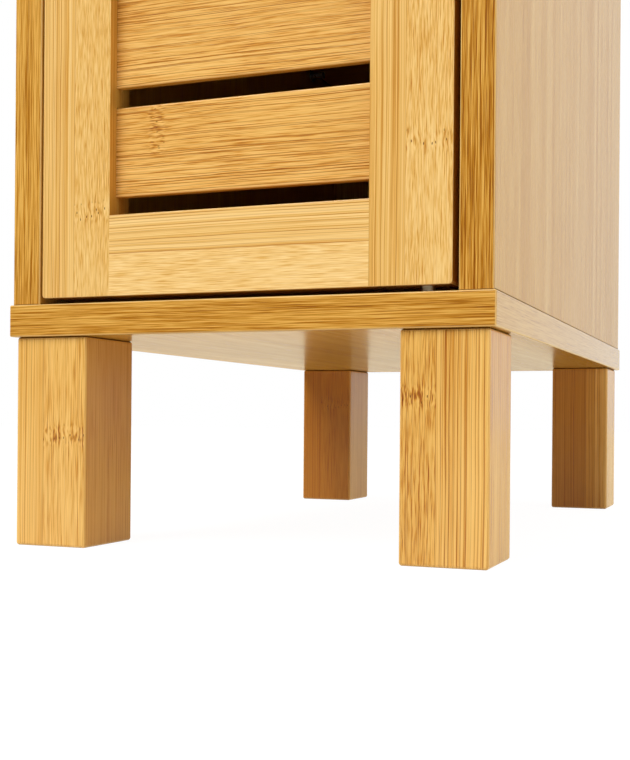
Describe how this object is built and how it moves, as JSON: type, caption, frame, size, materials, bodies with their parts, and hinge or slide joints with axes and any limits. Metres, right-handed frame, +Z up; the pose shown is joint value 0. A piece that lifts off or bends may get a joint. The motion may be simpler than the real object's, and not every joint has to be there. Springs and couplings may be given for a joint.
{
  "type": "bathroom cabinet",
  "caption": "Narrow floor-standing bathroom cabinet with laminated carcass, square bamboo legs, inner shelves and a louvred bamboo door on pivot pins.",
  "frame": {"origin": "on the floor, in the middle of the box that holds the whole cabinet with its knob", "axes": "+Z up, -Y to the front where the door is, +X to the right as seen from the front"},
  "size_m": [0.245, 0.4052, 0.8],
  "materials": {
    "laminate": "satin printed oak laminate on fibreboard",
    "edge_band": "printed oak edge band, rounded",
    "back_board": "thin printed fibreboard",
    "bamboo": "clear lacquered laminated bamboo",
    "dowel_wood": "plain beech",
    "zinc_alloy": "die-cast, unpolished",
    "steel": "zinc plated",
    "catch_plastic": "moulded brown plastic",
    "ferrite": "sintered magnet"
  },
  "bodies": {
    "carcass": {"base_board": "laminate", "top_board": "laminate", "left_side_panel": "laminate", "right_side_panel": "laminate", "lower_shelf": "laminate", "upper_shelf": "laminate", "base_front_edge_band": "edge_band", "base_side_edge_bands": "edge_band", "top_front_edge_band": "edge_band", "top_side_edge_bands": "edge_band", "left_panel_edge_band": "edge_band", "right_panel_edge_band": "edge_band", "lower_shelf_edge_band": "edge_band", "upper_shelf_edge_band": "edge_band", "back_panel": "back_board", "leg_front_left": "bamboo", "leg_front_right": "bamboo", "leg_rear_left": "bamboo", "leg_rear_right": "bamboo", "carcass_dowels": "dowel_wood", "cam_locks": "zinc_alloy", "leg_hanger_bolts": "steel", "leg_insert_nuts": "steel", "cam_bolts": "steel", "shelf_pins": "steel", "catch_screws": "steel", "catch_pole_plates": "steel", "lower_pivot_bush": "steel", "upper_pivot_bush": "steel", "catch_case": "catch_plastic", "catch_magnet": "ferrite"},
    "door": {"door_left_stile": "bamboo", "door_right_stile": "bamboo", "door_bottom_rail": "bamboo", "door_top_rail": "bamboo", "door_slat_01": "bamboo", "door_slat_02": "bamboo", "door_slat_03": "bamboo", "door_slat_04": "bamboo", "door_slat_05": "bamboo", "door_slat_06": "bamboo", "door_slat_07": "bamboo", "door_slat_08": "bamboo", "door_slat_09": "bamboo", "door_slat_10": "bamboo", "door_slat_11": "bamboo", "door_frame_dowels": "dowel_wood", "lower_pivot_pin": "steel", "upper_pivot_pin": "steel", "door_knob": "bamboo", "knob_screw": "steel", "strike_plate": "steel", "strike_screw": "steel"}
  },
  "joints": [
    {"name": "door_hinge", "type": "hinge", "parent": "carcass", "child": "door", "pos_m": [0.09, -0.17265, 0.1175], "axis": [0, 0, 1], "range_deg": [0, 110]}
  ]
}
